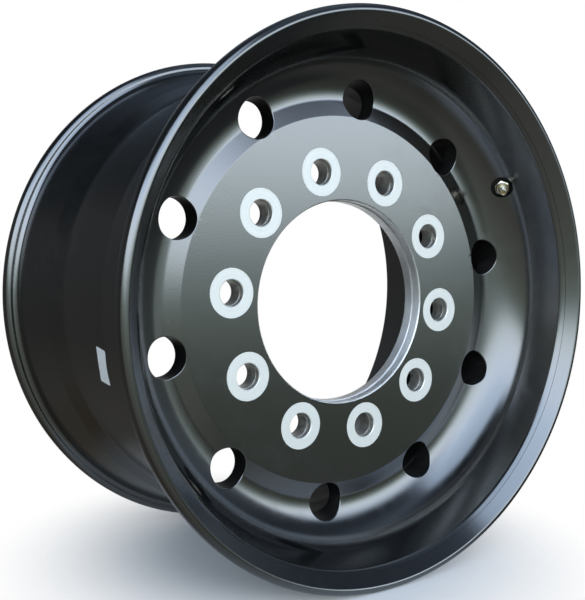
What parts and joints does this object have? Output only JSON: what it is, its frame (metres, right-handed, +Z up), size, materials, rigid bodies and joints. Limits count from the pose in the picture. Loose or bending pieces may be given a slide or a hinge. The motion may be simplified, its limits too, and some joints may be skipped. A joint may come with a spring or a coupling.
{
  "type": "truck wheel",
  "caption": "Wide one-piece forged truck wheel with a dished disc, hub-piloted centre bore, bare bolt seats, hand holes and a screwed-in tyre valve.",
  "frame": {"origin": "centre of the rim, on the axis, half way between the two flanges", "axes": "+Y along the wheel's axis, towards the vehicle; +Z up; the outer face looks towards -Y"},
  "size_m": [0.5968, 0.3454, 0.5968],
  "materials": {
    "black_paint": "satin-gloss black paint over forged aluminium, bare machined metal at the bolt seats and the bore",
    "plated_brass": "nickel plated brass, turned",
    "plated_nut": "nickel plated brass, machined hexagon",
    "seal_rubber": "matt black rubber",
    "core_brass": "bright brass",
    "spring_steel": "drawn wire"
  },
  "bodies": {
    "rim": {"wheel": "black_paint", "valve_stem": "plated_brass", "valve_nut": "plated_nut", "valve_seal": "seal_rubber", "valve_core_body": "core_brass", "valve_core_seal": "seal_rubber", "valve_core_spring": "spring_steel"},
    "core_pin": {"valve_core_pin": "core_brass", "valve_core_washer": "seal_rubber"}
  },
  "joints": [
    {"name": "core_pin_press", "type": "slide", "parent": "rim", "child": "core_pin", "axis": [0.6093, 0.7071, 0.3589], "range_m": [0, 0.0015], "stiffness_N_per_m": 3000, "springref_m": -0.0005, "deforming": ["valve_core_spring"]}
  ]
}
